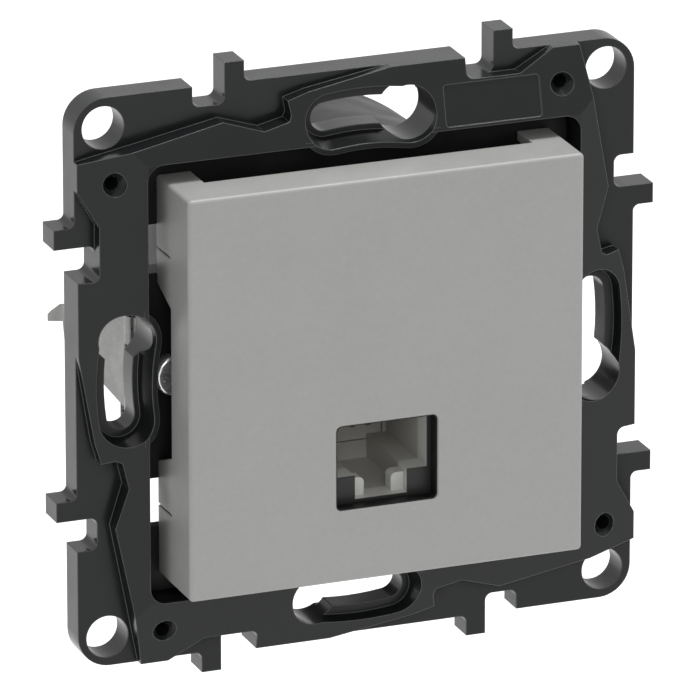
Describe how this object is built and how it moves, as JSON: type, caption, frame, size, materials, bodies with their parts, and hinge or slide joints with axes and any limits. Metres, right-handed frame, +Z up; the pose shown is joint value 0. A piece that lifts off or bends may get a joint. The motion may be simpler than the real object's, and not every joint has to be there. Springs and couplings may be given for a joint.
{
  "type": "telephone wall socket",
  "caption": "Flush-mounted telephone and data outlet: a grey square cover with a modular jack on a black support frame with fixing claws",
  "frame": {"origin": "centre of the support frame's back face, on the wall plane", "axes": "+Z up, +X right seen from the room, +Y into the wall box, so the cover faces -Y"},
  "size_m": [0.0756, 0.0428, 0.0756],
  "materials": {
    "black_plastic": "fine satin black moulded plastic",
    "grey_plastic": "satin grey moulded plastic with a soft sheen",
    "jack_grey_plastic": "satin grey moulded plastic",
    "board_green": "green solder mask",
    "terminal_white": "white moulded plastic",
    "cap_clear_grey": "pale grey moulded plastic",
    "gold_contact": "gold plated spring wire",
    "tinned_bronze": "tin plated bronze",
    "zinc_steel": "bright zinc plated steel"
  },
  "bodies": {
    "base": {"support_frame": "black_plastic", "front_cover": "grey_plastic", "mechanism_housing": "black_plastic", "housing_deck": "black_plastic", "jack_body": "jack_grey_plastic", "contact_carrier": "jack_grey_plastic", "jack_contact_1": "gold_contact", "jack_contact_2": "gold_contact", "jack_contact_3": "gold_contact", "jack_contact_4": "gold_contact", "jack_contact_5": "gold_contact", "jack_contact_6": "gold_contact", "jack_contact_7": "gold_contact", "jack_contact_8": "gold_contact", "circuit_board": "board_green", "upper_terminal_block": "terminal_white", "lower_terminal_block": "terminal_white", "terminal_blade_1": "tinned_bronze", "terminal_blade_2": "tinned_bronze", "terminal_blade_3": "tinned_bronze", "terminal_blade_4": "tinned_bronze", "terminal_blade_5": "tinned_bronze", "terminal_blade_6": "tinned_bronze", "terminal_blade_7": "tinned_bronze", "terminal_blade_8": "tinned_bronze", "rear_cover": "black_plastic", "rear_cover_screws": "zinc_steel", "claw_pin_left": "zinc_steel", "claw_pin_right": "zinc_steel"},
    "wiring_cap": {"wiring_cap": "cap_clear_grey"},
    "claw_screw_left": {"claw_screw_left": "zinc_steel"},
    "claw_nut_left": {"claw_nut_left": "zinc_steel"},
    "claw_left": {"claw_left": "zinc_steel"},
    "claw_screw_right": {"claw_screw_right": "zinc_steel"},
    "claw_nut_right": {"claw_nut_right": "zinc_steel"},
    "claw_right": {"claw_right": "zinc_steel"}
  },
  "joints": [
    {"name": "wiring_cap_slide", "type": "slide", "parent": "base", "child": "wiring_cap", "axis": [0, 1, 0], "range_m": [0, 0.006]},
    {"name": "claw_screw_left_turn", "type": "hinge", "parent": "base", "child": "claw_screw_left", "pos_m": [-0.0229, -0.0026, 0], "axis": [0, 1, 0], "range_deg": [0, 4200]},
    {"name": "claw_nut_left_slide", "type": "slide", "parent": "base", "child": "claw_nut_left", "axis": [0, -1, 0], "range_m": [0, 0.007]},
    {"name": "claw_left_swing", "type": "hinge", "parent": "base", "child": "claw_left", "pos_m": [-0.0254, 0.0021, 0], "axis": [0, 0, 1], "range_deg": [0, 18]},
    {"name": "claw_screw_right_turn", "type": "hinge", "parent": "base", "child": "claw_screw_right", "pos_m": [0.0229, -0.0026, 0], "axis": [0, 1, 0], "range_deg": [0, 4200]},
    {"name": "claw_nut_right_slide", "type": "slide", "parent": "base", "child": "claw_nut_right", "axis": [0, -1, 0], "range_m": [0, 0.007]},
    {"name": "claw_right_swing", "type": "hinge", "parent": "base", "child": "claw_right", "pos_m": [0.0254, 0.0021, 0], "axis": [0, 0, -1], "range_deg": [0, 18]}
  ],
  "couplings": [
    {"joint": "claw_screw_left_turn", "follows": "claw_nut_left_slide", "rad_per_m": 10472},
    {"joint": "claw_left_swing", "follows": "claw_nut_left_slide", "rad_per_m": 44.879},
    {"joint": "claw_screw_right_turn", "follows": "claw_nut_right_slide", "rad_per_m": 10472},
    {"joint": "claw_right_swing", "follows": "claw_nut_right_slide", "rad_per_m": 44.879}
  ]
}
